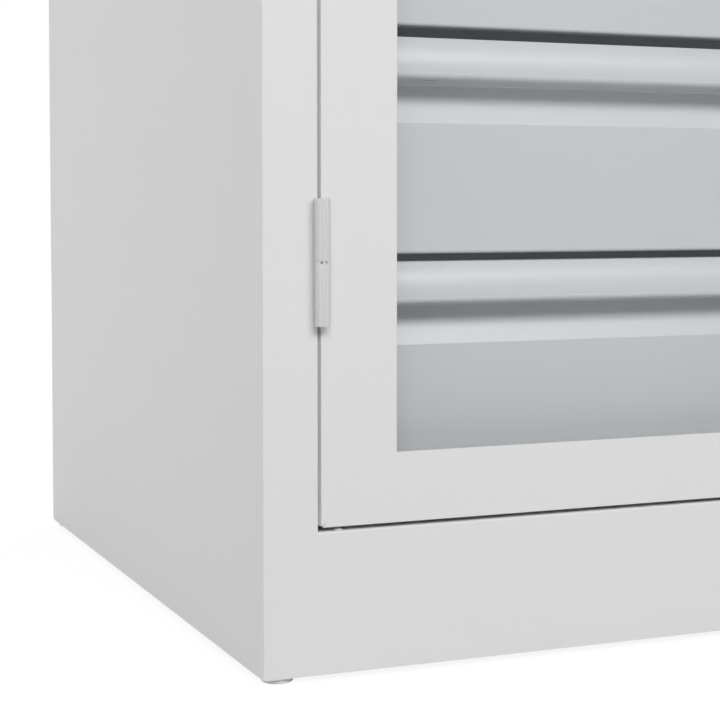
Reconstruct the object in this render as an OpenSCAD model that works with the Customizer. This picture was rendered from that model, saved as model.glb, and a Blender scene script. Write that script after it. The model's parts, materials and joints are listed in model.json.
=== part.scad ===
// Heavy-duty drawer cabinet with two vision-panel doors in a welded sheet-steel body.
// Millimetres. +Z is up, the front faces -Y and the origin is the middle of the footprint on the floor.
// Modules draw in cabinet coordinates: x from the left side, y back from the front plane, z from the floor.

/* [Cabinet] */
// Overall width
cab_w = 1000; // [800:10:1200]
// Depth of the body from the front plane to the rear
cab_d = 600; // [560:10:700]
// Overall height with the feet
cab_h = 1000; // [960:10:1100]
// Thickness of the body sheet
sheet = 1.5; // [1.2:0.1:2]
// Inside radius of every bend
bend = 1; // [0.8:0.1:1.5]

/* [Front frame] */
// Width of the stile beside the doors
stile_w = 36.5; // [32:0.5:45]
// Height of the plinth above the lower edge of the body
plinth_h = 91; // [80:1:110]
// Height of the header above the doors
header_h = 84; // [70:1:100]
// Depth from the front plane to the face of the door stop
jamb_d = 26; // [25:0.5:30]
// Width of the stop that the doors close against
stop_w = 20; // [14:1:24]
// Depth of the plinth's top flange
plinth_lip = 40; // [34:1:50]
// Width of the rear flange of each side
rear_flange = 20; // [14:1:30]
// Height of the floor panel's side flanges
floor_lip = 25; // [15:1:40]
// Radius of the lower rear corner of each side
corner_r = 4; // [2:0.5:8]

/* [Feet] */
// How far the feet stand out below the body
foot_h = 4; // [3:0.5:8]
// Diameter of a foot
foot_dia = 20.5; // [16:0.5:24]
// Distance of a foot's centre from the outer faces
foot_inset = 13.6; // [13:0.2:18]
// Diameter of a foot's stud
stud_dia = 8; // [6:0.5:10]
// Length of a foot's stud above the foot
stud_len = 14; // [10:1:20]
// Thickness of the bracket that holds a foot
bracket_t = 3; // [2:0.5:4]
// Side of that bracket
bracket_w = 31; // [30:0.5:31.5]

/* [Doors] */
// Gap all round a door
door_gap = 2.2; // [1.8:0.1:3]
// Depth of a door pan
door_depth = 22; // [18:0.5:23]
// Thickness of the door sheet
door_sheet = 1.25; // [1:0.05:1.5]
// Width of the door's border beside the window
door_stile = 51.8; // [48:0.1:60]
// Height of the door's border above and below the window
door_rail = 45.4; // [36:0.1:60]
// Width of the return lip behind the pan
door_lip = 15; // [10:1:18]
// Thickness of the window pane
pane_t = 3; // [2:0.5:4]
// Thickness of the seal between sheet and pane
seal_t = 1; // [0.5:0.25:1.5]
// Width of the seal
seal_w = 10; // [8:0.5:12]
// Distance of the seal from the window's edge
seal_back = 1.5; // [1:0.5:3]
// Thickness of the frame that holds the pane
retainer_t = 1.25; // [1:0.25:1.5]
// Clearance between pane and frame
pane_clear = 0.5; // [0.3:0.1:1]

/* [Hinges] */
// Diameter of a hinge barrel
hinge_dia = 10; // [9:0.5:11]
// Length of a whole hinge
hinge_len = 81; // [70:1:100]
// Distance of the hinge axis in front of the front plane
hinge_out = 5.05; // [5.05:0.05:6]
// Distance of a hinge's centre from the end of the door
hinge_inset = 168; // [120:1:200]
// Diameter of a hinge pin
pin_dia = 5; // [4:0.5:5.5]
// Radial clearance between pin and upper barrel
pin_clear = 0.05; // [0.02:0.01:0.1]
// Length of the pin in each half
pin_len = 30; // [20:1:32]
// Thickness of the washer between the halves
washer_t = 1; // [0.6:0.1:1.5]
// Clearance above the washer
washer_clear = 0.15; // [0.1:0.05:0.3]
// Radius of the flutes along a barrel
flute_r = 0.9; // [0.6:0.1:1.2]
// Height of the weld foot on the sheet
weld_t = 3; // [2:0.25:4]

/* [Lock] */
// How far the handle stands out in front
handle_reach = 42; // [38:1:60]
// Length of the handle bar
handle_len = 112; // [90:1:130]
// Width of the handle bar
handle_w = 25; // [22:0.5:28]
// Thickness of the handle bar
handle_t = 15; // [13:0.5:18]
// How much thinner the handle bar is at its ends
handle_bow = 5; // [0:0.5:7]
// Diameter of the handle's neck
neck_dia = 22; // [20:0.5:24]
// Length of the rosette
rosette_len = 78; // [60:1:100]
// Width of the rosette
rosette_w = 34; // [30:0.5:40]
// Thickness of the rosette
rosette_t = 4; // [3:0.5:6]
// Diameter of the spindle
spindle_dia = 12; // [10:0.5:14]
// Diameter of the lock cylinder
plug_dia = 16; // [14:0.5:17]
// Depth of the lock cylinder
plug_len = 12; // [8:0.5:12]
// Radius of the cam plate
cam_r = 19; // [18:0.5:22]
// Thickness of the cam plate
cam_t = 3; // [2:0.5:4]
// Travel of a locking rod
rod_travel = 18; // [14:0.5:20]
// Diameter of a rod and of a bolt
rod_dia = 8; // [6:0.5:10]
// Distance of the rods behind the front plane
rod_d = 13; // [12.5:0.25:14]
// Distance of the rods from the door's free edge
rod_inset = 24; // [22:0.5:26]
// Length of a shoot bolt
bolt_len = 150; // [110:5:200]
// Clearance of a rod in its guide
rod_clear = 0.08; // [0.05:0.01:0.1]
// Clearance of a rod in the sheets that it passes
hole_clear = 0.6; // [0.4:0.1:1]

/* [Drawers] */
// Gap between two drawer fronts
front_gap = 5; // [4:0.5:8]
// Gap from the plinth's top to the lowest front
bottom_clear = 22.8; // [18:0.2:30]
// Gap from the highest front to the header
top_clear = 49.7; // [30:0.1:70]
// Extra gap between the two lowest drawers and those above them
pair_gap = 3.5; // [0:0.5:8]
// Distance of a drawer's end from the cabinet's side
drawer_inset = 66; // [66:0.5:80]
// Depth from the front plane to the top edge of a drawer front
front_set = 52; // [52:0.5:58]
// Thickness of the drawer sheet
drawer_sheet = 1.2; // [1:0.1:1.5]
// Height of the curved part of the grip bar
bar_h = 24; // [20:0.5:28]
// How far the bar leans out at its lower edge
bar_lean = 7.5; // [5:0.5:8.5]
// Height of the lip that rolls under below the curve
lip_h = 4.5; // [3:0.25:5]
// Depth of the bar's underside
grip_d = 23; // [20:0.5:28]
// Drop of the underside towards the rear
grip_drop = 1.8; // [1:0.1:4]
// Depth from the top edge back to the face of the front
face_set = 8; // [6:0.5:10]
// Height from the top edge down to the fold above the face
fold_drop = 55.8; // [52:0.1:62]
// Depth of the front's top flange
front_lip = 12; // [8:1:16]
// Depth of the front's bottom flange
foot_lip = 15; // [8:1:20]
// Length of the slot under the bar
slot_len = 11; // [8:0.5:16]
// Width of that slot
slot_w = 5; // [4:0.5:6]
// Distance of the slot from the end of the front
slot_inset = 70; // [50:1:120]
// Height of the tray's floor above the front's lower edge
tray_lift = 6; // [4:0.5:10]
// Gap from the tray's rim up to the front's top edge
rim_drop = 32; // [30:1:50]

/* [Slides] */
// Height of a slide
slide_h = 54; // [46:1:60]
// Width of a slide
slide_w = 19.6; // [18:0.1:24]
// Thickness of the slide steel
slide_t = 1.8; // [1.5:0.1:2]
// Clearance between the members of a slide
slide_clear = 0.4; // [0.3:0.05:0.6]
// Height of a slide's middle above the front's lower edge
slide_lift = 46; // [40:1:50]
// Gap between the rear of the slides and the back panel
rear_clear = 35; // [20:1:60]
// Width of an upright
upright_w = 40; // [30:1:50]
// Width of the flanges that hold an upright to the side
upright_lip = 15; // [10:1:20]
// Distance of the uprights from the ends of the slides
upright_in = 22; // [18:1:40]
// Pitch of the slots in the uprights
perf_pitch = 50; // [25:5:100]
// Height of such a slot
perf_h = 14; // [10:1:20]
// Width of such a slot
perf_w = 5; // [3:0.5:8]

/* [Fittings] */
// Diameter of a door buffer
buffer_dia = 10; // [8:0.5:12]
// Clearance between a closed door and what it closes against
close_clear = 0.3; // [0.2:0.05:0.5]
// Length of a magnetic catch
magnet_len = 46; // [30:1:60]
// Height of a magnetic catch
magnet_h = 12; // [8:0.5:14]
// Distance of a catch from the door's free edge
magnet_in = 60; // [45:1:100]
// Diameter of the plug in the plinth's top flange
button_dia = 6; // [5:0.5:8]
// Diameter of the hole that it sits in
button_neck = 4; // [3:0.5:4.5]
// Height of that plug
button_h = 1.2; // [0.8:0.1:1.4]
// Distance of that plug from the cabinet's side
button_x = 52; // [46:1:80]
// Distance of that plug behind the front plane
button_d = 6; // [5.5:0.5:10]

/* [Hidden] */
$fn = 48;
drawer_count = 5;

// Colours
body_grey = [0.84, 0.84, 0.84];
drawer_grey = [0.74, 0.76, 0.77];
tray_grey = [0.3, 0.31, 0.32];
steel_grey = [0.62, 0.63, 0.65];
foot_grey = [0.7, 0.7, 0.69];
black_grey = [0.16, 0.16, 0.17];
clear_tint = [0.85, 0.92, 0.95, 0.3];

// Facets of the bends: no arc below the least bend, and one facet for each step
least_bend = 12;
bend_step = 18;
edge_steps = 5;
bar_steps = 6;
bow_steps = 16;

// Body
over = 1;
outer_r = sheet + bend;
front_y = (handle_reach - cab_d) / 2;
body_top = cab_h - outer_r;
plinth_top = foot_h + plinth_h;
header_bottom = cab_h - header_h;
opening_h = header_bottom - plinth_top;
seam_land = 0.5;
seam_x = stile_w - outer_r - seam_land;
back_face = cab_d - 2 * sheet;
foot_edge = 0.8;
stud_edge = 1;

// Doors
door_bend = door_sheet + bend;
door_w = (cab_w - 2 * stile_w - 3 * door_gap) / 2;
door_h = opening_h - 2 * door_gap;
door_x = stile_w + door_gap;
door_z = plinth_top + door_gap;
door_end = door_x + door_w;
door_top = door_z + door_h;
window_w = door_w - 2 * door_stile;
window_h = door_h - 2 * door_rail;
pane_d = door_sheet + seal_t;
pane_over = 1;
pane_edge = seal_back + seal_w + pane_over;
retainer_edge = pane_edge + pane_clear + retainer_t;

// Hinges
hinge_x = stile_w + door_gap / 2;
hinge_centres = [door_z + hinge_inset, door_top - hinge_inset];
half_len = hinge_len / 2;
weld_from = 1.5;
weld_to = hinge_dia / 2 + 1;
flute_turns = [-117, -77];
bore_end = 1;

// Lock
rod_r = rod_dia / 2;
lock_x = cab_w - door_end + rod_inset;
lock_z = door_z + door_h / 2;
cam_d = 8;
pin_r = 2.5;
pin_arm = rod_travel / sqrt(2);
pin_play = 0.8;
tab_t = 3;
tab_d = rod_d - tab_t / 2;
tab_in = 7;
tab_edge = 4;
pin_end = 1;
rod_start = cam_r + tab_in + 2;
rod_back = 2;
guide_from = 40;
guide_h = 14;
guide_w = 16;
guide_wall = 5.5;
guide_near = 143;
guide_far = 82;
bolt_x = door_end - rod_inset;
knob_dia = 7;
knob_d = door_depth - 1;
neck_in = 1;
key_w = 2;
key_len = 9;

// Drawers and slides
pair = 2;
pitch = (opening_h - bottom_clear - top_clear - pair_gap + front_gap) / drawer_count;
front_h = pitch - front_gap;
lip_d = front_set - bar_lean;
face_d = front_set + face_set;
grip_z = front_h - bar_h - lip_h;
lip_r = 0.95 * lip_h - drawer_sheet;
slot_back = 4;
recess_d = lip_d + grip_d;
fold_z = front_h - fold_drop;
bar_r = (bar_h * bar_h + bar_lean * bar_lean) / (2 * bar_lean);
slide_in = 1;
slide_x = drawer_inset + slide_in;
tray_x = slide_x + slide_w;
slide_from = face_d + drawer_sheet + slide_in;
slide_to = back_face - rear_clear;
tray_from = face_d + drawer_sheet;
tray_short = 5;
tray_to = slide_to - tray_short;
tray_rim = front_h - rim_drop;
step_clear = 4;
step_drop = 6;
step_d = recess_d + drawer_sheet + step_clear;
step_z = fold_z - step_drop;

// Fittings
magnet_drop = 6;
button_edge = 0.6;

// Placing and mirroring
module in_frame() translate([-cab_w / 2, front_y, 0]) children();
module opposite() translate([cab_w, 0, 0]) mirror([1, 0, 0]) children();
module both_sides() {
    children();
    opposite() children();
}
module along_x(a, b) translate([a, 0, 0]) rotate([90, 0, 90]) linear_extrude(b - a) children();
module along_y(a, b) translate([0, b, 0]) rotate([90, 0, 0]) linear_extrude(b - a) children();
module along_z(a, b) translate([0, 0, a]) linear_extrude(b - a) children();

// Folded sheet: the points run along one face with the metal on their left, and a third value on
// a point sets the inside radius of its bend
function unit(v) = v / norm(v);
function flat(p) = [p[0], p[1]];
function turn(u, v) = u[0] * v[1] - u[1] * v[0];
function least(a) = a > 180 ? a - 360 : a < -180 ? a + 360 : a;
function arc(m, r, a, sweep, n) = [
    for (i = [0:n]) m + r * [cos(a + sweep * i / n), sin(a + sweep * i / n)]
];
function corner(a, b, c, t, r) =
    let (u = unit(a - b), v = unit(c - b), half = acos(u * v) / 2, bent = 180 - 2 * half)
    bent < least_bend ? [b] :
    let (
        size = turn(b - a, c - b) > 0 ? r + t : r,
        m = b + unit(u + v) * size / sin(half),
        p = b + u * size / tan(half) - m,
        q = b + v * size / tan(half) - m,
        from = atan2(p[1], p[0])
    )
    arc(m, size, from, least(atan2(q[1], q[0]) - from), max(2, ceil(bent / bend_step)));
function face_line(pts, t, r) = [
    flat(pts[0]),
    for (i = [1:len(pts) - 2])
        each corner(flat(pts[i - 1]), flat(pts[i]), flat(pts[i + 1]), t, len(pts[i]) > 2 ? pts[i][2] : r),
    flat(pts[len(pts) - 1])
];
function other_face(p, t) = [
    for (i = [len(p) - 1:-1:0])
        let (
            back = unit(i > 0 ? p[i] - p[i - 1] : p[1] - p[0]),
            ahead = unit(i < len(p) - 1 ? p[i + 1] - p[i] : p[i] - p[i - 1]),
            m = unit(back + ahead)
        )
        p[i] + [-m[1], m[0]] * t / (m * back)
];
module folded(pts, t, r = bend) {
    line = face_line(pts, t, r);
    polygon(concat(line, other_face(line, t)));
}

// Side with its stile, jamb and stop in front and a flange behind
module side_panel() color(body_grey) difference() {
    along_z(foot_h, body_top) folded([
        [rear_flange, cab_d], [0, cab_d], [0, 0],
        [stile_w, 0], [stile_w, jamb_d], [stile_w + stop_w, jamb_d]
    ], sheet);
    for (z = [[0, plinth_top], [header_bottom, cab_h]])
        translate([seam_x, -over, z[0]])
            cube([stile_w + stop_w, jamb_d + sheet + 2 * over, z[1] - z[0]]);
    along_x(-over, rear_flange + over) translate([cab_d - corner_r, foot_h]) difference() {
        translate([0, -over]) square(corner_r + over);
        translate([0, corner_r]) circle(corner_r);
    }
}

// Flat back behind the side flanges
module back_panel() color(body_grey)
    translate([outer_r, back_face, foot_h]) cube([cab_w - 2 * outer_r, sheet, body_top - foot_h]);

// Top sheet with its edges turned down on to the sides, back and header
module rolled_edge() polygon(concat(
    arc([0, 0], outer_r, 0, 90, edge_steps), arc([0, 0], bend, 90, -90, edge_steps)
));
module edge_pair(size) for (s = [0, 1])
    translate([s * size, 0]) mirror([1 - s, 0]) translate([-outer_r, 0]) rolled_edge();
module top_panel() color(body_grey) translate([0, 0, body_top]) {
    translate([outer_r, outer_r, bend]) cube([cab_w - 2 * outer_r, cab_d - 2 * outer_r, sheet]);
    along_x(outer_r, cab_w - outer_r) edge_pair(cab_d);
    along_y(outer_r, cab_d - outer_r) edge_pair(cab_w);
    both_sides() {
        translate([outer_r, outer_r, 0]) rotate(180) rotate_extrude(angle = 90) rolled_edge();
        translate([outer_r, cab_d - outer_r, 0]) rotate(90) rotate_extrude(angle = 90) rolled_edge();
    }
}

// Cabinet floor between the sides
module floor_panel() color(body_grey) along_y(plinth_lip, back_face) folded([
    [cab_w - sheet, plinth_top - floor_lip], [cab_w - sheet, plinth_top],
    [sheet, plinth_top], [sheet, plinth_top - floor_lip]
], sheet);

// Holes in the frame for the rods and shoot bolts
module rod_holes(z) for (x = [bolt_x, lock_x])
    translate([x, rod_d, z - over]) cylinder(r = rod_r + hole_clear, h = sheet + 2 * over);

// Plinth between the stiles
module plinth_panel() color(body_grey) difference() {
    along_x(seam_x, cab_w - seam_x) folded([
        [plinth_lip, plinth_top], [0, plinth_top], [0, foot_h]
    ], sheet);
    rod_holes(plinth_top - sheet);
    both_sides() translate([button_x, button_d, plinth_top - sheet - over])
        cylinder(d = button_neck, h = sheet + 2 * over);
}

// Header between the stiles, with the upper door stop
module header_rail() color(body_grey) difference() {
    along_x(seam_x, cab_w - seam_x) folded([
        [0, body_top], [0, header_bottom], [jamb_d, header_bottom], [jamb_d, header_bottom - stop_w]
    ], sheet);
    both_sides() translate([0, -over, header_bottom - stop_w - over])
        cube([stile_w + stop_w, jamb_d + sheet + 2 * over, stop_w + over]);
    rod_holes(header_bottom);
}

// Feet and the brackets in the corners of the base
module at_feet() both_sides() for (y = [foot_inset, cab_d - foot_inset])
    translate([foot_inset, y, 0]) children();
module foot_brackets() color(body_grey) difference() {
    both_sides() along_z(foot_h, foot_h + bracket_t) {
        polygon([
            [sheet + outer_r, sheet], [sheet + bracket_w, sheet], [sheet + bracket_w, sheet + bracket_w],
            [sheet, sheet + bracket_w], [sheet, sheet + outer_r]
        ]);
        translate([outer_r, back_face - bracket_w]) square([bracket_w - bend, bracket_w]);
    }
    at_feet() cylinder(d = stud_dia, h = foot_h + bracket_t + over);
}
module feet() color(foot_grey) at_feet() rotate_extrude() polygon([
    [0, 0], [foot_dia / 2 - foot_edge, 0], [foot_dia / 2, foot_edge], [foot_dia / 2, foot_h],
    [stud_dia / 2, foot_h], [stud_dia / 2, foot_h + stud_len - stud_edge],
    [stud_dia / 2 - stud_edge, foot_h + stud_len], [0, foot_h + stud_len]
]);

// Hat-shaped perforated uprights that carry the slides
module uprights() color(steel_grey) difference() {
    for (y = [slide_from + upright_in, slide_to - upright_in - upright_w])
        along_z(plinth_top, header_bottom) folded([
            [sheet, y + upright_w + upright_lip], [sheet, y + upright_w], [slide_x - sheet, y + upright_w],
            [slide_x - sheet, y], [sheet, y], [sheet, y - upright_lip]
        ], sheet);
    for (y = [slide_from + upright_in, slide_to - upright_in - upright_w])
        for (z = [plinth_top + perf_pitch:perf_pitch:header_bottom - perf_pitch / 2])
            translate([slide_x - sheet - over, y + (upright_w - perf_w) / 2, z])
                cube([sheet + 2 * over, perf_w, perf_h]);
}

// Telescopic slides: outer, middle and inner members nested in one another
function drawer_z(k) = plinth_top + bottom_clear + (k - 1) * pitch + (k > pair ? pair_gap : 0);
function slide_z(k) = drawer_z(k) + slide_lift;
member_step = slide_t + slide_clear;
member_reach = slide_w - 2 * slide_t - slide_in;
module member(x, h, z) folded([
    [x + member_reach, z + h / 2], [x, z + h / 2], [x, z - h / 2], [x + member_reach, z - h / 2]
], slide_t);
module slide_outer(k) along_y(slide_from, slide_to) member(slide_x, slide_h, slide_z(k));
module slide_middle(k) along_y(slide_from, slide_to)
    member(slide_x + member_step, slide_h - 2 * member_step, slide_z(k));
module slide_inner(k) along_y(slide_from, slide_to) {
    h = slide_h - 4 * member_step;
    from = slide_x + 2 * member_step;
    folded([
        [from, slide_z(k) - h / 2], [tray_x, slide_z(k) - h / 2],
        [tray_x, slide_z(k) + h / 2], [from, slide_z(k) + h / 2]
    ], slide_t);
}
module slide_outers() color(steel_grey) for (k = [1:drawer_count]) slide_outer(k);

// Drawer front: one folded sheet with a curved grip bar, a slope behind it and a flat face
module drawer_front(k) color(drawer_grey) difference() {
    along_x(drawer_inset, cab_w - drawer_inset) translate([0, drawer_z(k)]) folded(concat(
        [[front_set + front_lip, front_h]],
        [for (i = [0:bar_steps]) let (a = asin(bar_h / bar_r) * (1 - i / bar_steps))
            [lip_d + bar_r * (1 - cos(a)), front_h - bar_h + bar_r * sin(a)]],
        [[lip_d, grip_z, lip_r], [recess_d, grip_z - grip_drop], [face_d, fold_z],
        [face_d, 0], [face_d + foot_lip, 0]]
    ), drawer_sheet);
    both_sides() translate([drawer_inset + slot_inset, lip_d + slot_back + slot_w / 2, 0])
        along_z(drawer_z(k) + grip_z - 2 * grip_drop, drawer_z(k) + grip_z + 2 * grip_drop)
            rotate(90) stadium(slot_w, slot_len);
}

// Drawer tray: folded floor and sides with a front and a rear wall, stepped down behind the grip
module drawer_tray(k) color(tray_grey) translate([0, 0, drawer_z(k)]) difference() {
    union() {
        along_y(tray_from, tray_to) folded([
            [tray_x, tray_rim], [tray_x, tray_lift],
            [cab_w - tray_x, tray_lift], [cab_w - tray_x, tray_rim]
        ], drawer_sheet);
        for (y = [tray_from, tray_to - drawer_sheet]) along_y(y, y + drawer_sheet)
            translate([tray_x + drawer_sheet / 2, tray_lift + drawer_sheet / 2])
                square([cab_w - 2 * tray_x - drawer_sheet, tray_rim - tray_lift - drawer_sheet / 2]);
    }
    translate([0, tray_from - over, step_z]) cube([cab_w, step_d - tray_from + over, front_h]);
}
module drawer_runners(k) color(steel_grey) both_sides() slide_inner(k);
module drawer_slides(k) color(steel_grey) both_sides() slide_middle(k);

// Hinges: a fluted barrel in two halves with weld feet, drawn round the hinge axis
module at_hinges() for (z = hinge_centres) translate([hinge_x, -hinge_out, z]) children();
module barrel(side) difference() {
    union() {
        circle(d = hinge_dia);
        translate([side > 0 ? weld_from : -weld_to, hinge_out - weld_t])
            square([weld_to - weld_from, weld_t]);
    }
    for (a = flute_turns) rotate(a) translate([hinge_dia / 2 + flute_r / 2, 0]) circle(flute_r);
}
module hinge_frame_barrels() color(body_grey) both_sides() at_hinges() difference() {
    along_z(-half_len, -washer_t / 2) barrel(-1);
    translate([0, 0, -pin_len]) cylinder(d = pin_dia, h = pin_len);
}
module hinge_pins() color(steel_grey) both_sides() at_hinges()
    translate([0, 0, -pin_len]) cylinder(d = pin_dia, h = 2 * pin_len);
module hinge_washers() color(body_grey) both_sides() at_hinges() along_z(-washer_t / 2, washer_t / 2)
    difference() {
        circle(d = hinge_dia - 2 * flute_r);
        circle(d = pin_dia);
    }
module hinge_barrels() color(body_grey) at_hinges() difference() {
    along_z(washer_t / 2 + washer_clear, half_len) barrel(1);
    cylinder(r = pin_dia / 2 + pin_clear, h = pin_len + bore_end);
}

// Door pan with its window, drawn as the left door
module door_pan() {
    along_z(door_z + door_bend, door_top - door_bend) folded([
        [door_x + door_lip, door_depth], [door_x, door_depth], [door_x, 0],
        [door_end, 0], [door_end, door_depth], [door_end - door_lip, door_depth]
    ], door_sheet);
    along_x(door_x + door_bend, door_end - door_bend) {
        folded([
            [0, door_z + door_bend + over], [0, door_z],
            [door_depth, door_z], [door_depth, door_z + door_lip]
        ], door_sheet);
        folded([
            [door_depth, door_top - door_lip], [door_depth, door_top], [0, door_top],
            [0, door_top - door_bend - over]
        ], door_sheet);
    }
}
module door_panel() color(body_grey) difference() {
    door_pan();
    along_y(-over, door_sheet + over) around_window(0);
    for (z = [door_z, door_top - door_sheet])
        translate([bolt_x, rod_d, z - over]) cylinder(r = rod_r + hole_clear, h = door_sheet + 2 * over);
}
module around_window(edge) translate([door_x + door_stile - edge, door_z + door_rail - edge])
    square([window_w + 2 * edge, window_h + 2 * edge]);
module glazing_seal() color(black_grey) along_y(door_sheet, pane_d) difference() {
    around_window(seal_back + seal_w);
    around_window(seal_back);
}
module window_pane() color(clear_tint) along_y(pane_d, pane_d + pane_t) around_window(pane_edge);
module pane_frame() color(body_grey) {
    along_y(door_sheet, pane_d + pane_t + retainer_t) difference() {
        around_window(retainer_edge);
        around_window(pane_edge + pane_clear);
    }
    along_y(pane_d + pane_t, pane_d + pane_t + retainer_t) difference() {
        around_window(retainer_edge);
        around_window(seal_back);
    }
}

// Shoot bolts of the left door and their guides, one above and one below
module at_ends() {
    translate([bolt_x, rod_d, door_top - door_sheet]) children();
    translate([bolt_x, rod_d, door_z + door_sheet]) mirror([0, 0, 1]) children();
}
module guide() difference() {
    translate([-guide_w / 2, door_sheet - rod_d, -guide_h / 2])
        cube([guide_w, rod_d - door_sheet + guide_wall, guide_h]);
    cylinder(r = rod_r + rod_clear, h = guide_h + 2 * over, center = true);
}
module bolt_guides() color(black_grey) at_ends() for (z = [guide_from, bolt_len - guide_h])
    translate([0, 0, -z]) guide();
module bolt() {
    translate([0, 0, -bolt_len]) cylinder(r = rod_r, h = bolt_len - rod_back);
    translate([0, 0, -(guide_from + bolt_len) / 2]) along_y(0, knob_d - rod_d) circle(d = knob_dia);
}
module bolt_upper() color(steel_grey) translate([bolt_x, rod_d, door_top - door_sheet]) bolt();
module bolt_lower() color(steel_grey) translate([bolt_x, rod_d, door_z + door_sheet])
    mirror([0, 0, 1]) bolt();

// Rotary lock of the right door: rosette, handle with cylinder, cam and two rods
module at_lock() translate([lock_x, 0, lock_z]) children();
module stadium(w, h) {
    square([w, h - w], center = true);
    for (z = [-1, 1]) translate([0, z * (h - w) / 2]) circle(d = w);
}
module lock_rosette() color(black_grey) at_lock() along_y(-rosette_t, 0) difference() {
    stadium(rosette_w, rosette_len);
    circle(r = spindle_dia / 2 + pin_clear);
}
module handle_bow_side() polygon(concat(
    [[-handle_reach, handle_len / 2], [-handle_reach, -handle_len / 2]],
    [for (i = [-bow_steps / 2:bow_steps / 2]) let (share = 2 * i / bow_steps)
        [handle_t - handle_reach - handle_bow * share * share, share * handle_len / 2]]
));
module lock_handle() color(black_grey) at_lock() difference() {
    union() {
        intersection() {
            along_y(-handle_reach, handle_t - handle_reach) stadium(handle_w, handle_len);
            along_x(-handle_w, handle_w) handle_bow_side();
        }
        along_y(handle_t - handle_reach - neck_in, -rosette_t - close_clear) circle(d = neck_dia);
        along_y(-rosette_t - close_clear, cam_d + cam_t) circle(d = spindle_dia);
    }
    along_y(-handle_reach - over, plug_len - handle_reach) circle(r = plug_dia / 2 + pin_clear);
}
module lock_cylinder() color(steel_grey) at_lock() along_y(-handle_reach, plug_len - handle_reach)
    difference() {
        circle(d = plug_dia);
        square([key_w, key_len], center = true);
    }
module lock_cam() color(steel_grey) at_lock() {
    along_y(cam_d, cam_d + cam_t) difference() {
        circle(r = cam_r);
        circle(d = spindle_dia);
    }
    for (s = [-1, 1]) translate([s * pin_arm / sqrt(2), cam_d + cam_t, -s * pin_arm / sqrt(2)])
        rotate([-90, 0, 0]) cylinder(r = pin_r, h = tab_d + tab_t + pin_end - cam_d - cam_t);
}

// Rod drawn as the upper one from the middle of the lock: the slot in its tab holds a pin of the cam
module lock_rod() {
    slot_x = pin_arm / sqrt(2) - pin_r - pin_play;
    slot_to = pin_arm + pin_r + pin_play;
    slot_h = 2 * (pin_r + pin_play);
    slot_z = -pin_arm / sqrt(2) - slot_h / 2;
    along_y(tab_d, tab_d + tab_t) difference() {
        union() {
            translate([slot_x - tab_edge, slot_z - tab_edge])
                square([slot_to - slot_x + 2 * tab_edge, rod_start + tab_in - slot_z + tab_edge]);
            translate([-rod_r, rod_start]) square([slot_to + tab_edge + rod_r, tab_in]);
        }
        translate([slot_x, slot_z]) square([slot_to - slot_x, slot_h]);
    }
    translate([0, rod_d, rod_start]) cylinder(r = rod_r, h = door_h / 2 - door_sheet - rod_back - rod_start);
}
module rod_upper() color(steel_grey) at_lock() lock_rod();
module rod_lower() color(steel_grey) at_lock() rotate([0, 180, 0]) lock_rod();
module rod_guides() color(black_grey) for (s = [-1, 1]) for (z = [guide_near, door_h / 2 - guide_far])
    translate([lock_x, rod_d, lock_z + s * z]) guide();
module door_panel_right() color(body_grey) difference() {
    opposite() door_panel();
    at_lock() along_y(-over, door_sheet + over) circle(r = spindle_dia / 2 + hole_clear);
}

// Buffers, catches and plugs of the frame
module door_buffers() color(black_grey) both_sides() for (z = [door_z + door_rail, door_top - door_rail])
    translate([stile_w + stop_w / 2, 0, z]) along_y(door_depth + close_clear, jamb_d) circle(d = buffer_dia);
module magnet_catches() color(steel_grey) both_sides() along_y(door_depth + close_clear, jamb_d)
    translate([door_end - magnet_in - magnet_len, header_bottom - stop_w + magnet_drop])
        square([magnet_len, magnet_h]);
module plinth_plugs() color("white") both_sides() translate([button_x, button_d, plinth_top])
    rotate_extrude() polygon([
        [0, -sheet], [button_neck / 2, -sheet], [button_neck / 2, 0], [button_dia / 2, 0],
        [button_dia / 2, button_edge], [button_dia / 2 - button_edge, button_h], [0, button_h]
    ]);

in_frame() side_panel();  // side_panel_left
in_frame() opposite() side_panel();  // side_panel_right
in_frame() back_panel();
in_frame() top_panel();
in_frame() floor_panel();
in_frame() plinth_panel();
in_frame() header_rail();
in_frame() foot_brackets();
in_frame() feet();
in_frame() uprights();  // uprights_left
in_frame() opposite() uprights();  // uprights_right
in_frame() slide_outers();  // slide_outers_left
in_frame() opposite() slide_outers();  // slide_outers_right
in_frame() hinge_frame_barrels();
in_frame() hinge_pins();
in_frame() hinge_washers();
in_frame() door_buffers();
in_frame() plinth_plugs();
in_frame() magnet_catches();
in_frame() door_panel();  // door_panel_left
in_frame() window_pane();  // window_pane_left
in_frame() glazing_seal();  // glazing_seal_left
in_frame() pane_frame();  // pane_frame_left
in_frame() hinge_barrels();  // hinge_barrels_left
in_frame() bolt_guides();
in_frame() bolt_upper();
in_frame() bolt_lower();
in_frame() door_panel_right();
in_frame() opposite() window_pane();  // window_pane_right
in_frame() opposite() glazing_seal();  // glazing_seal_right
in_frame() opposite() pane_frame();  // pane_frame_right
in_frame() opposite() hinge_barrels();  // hinge_barrels_right
in_frame() lock_rosette();
in_frame() rod_guides();
in_frame() lock_handle();
in_frame() lock_cam();
in_frame() lock_cylinder();
in_frame() rod_upper();
in_frame() rod_lower();
for (k = [1:drawer_count]) {
    in_frame() drawer_front(k);
    in_frame() drawer_tray(k);
    in_frame() drawer_runners(k);
    in_frame() drawer_slides(k);
}
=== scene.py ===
import json

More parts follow.
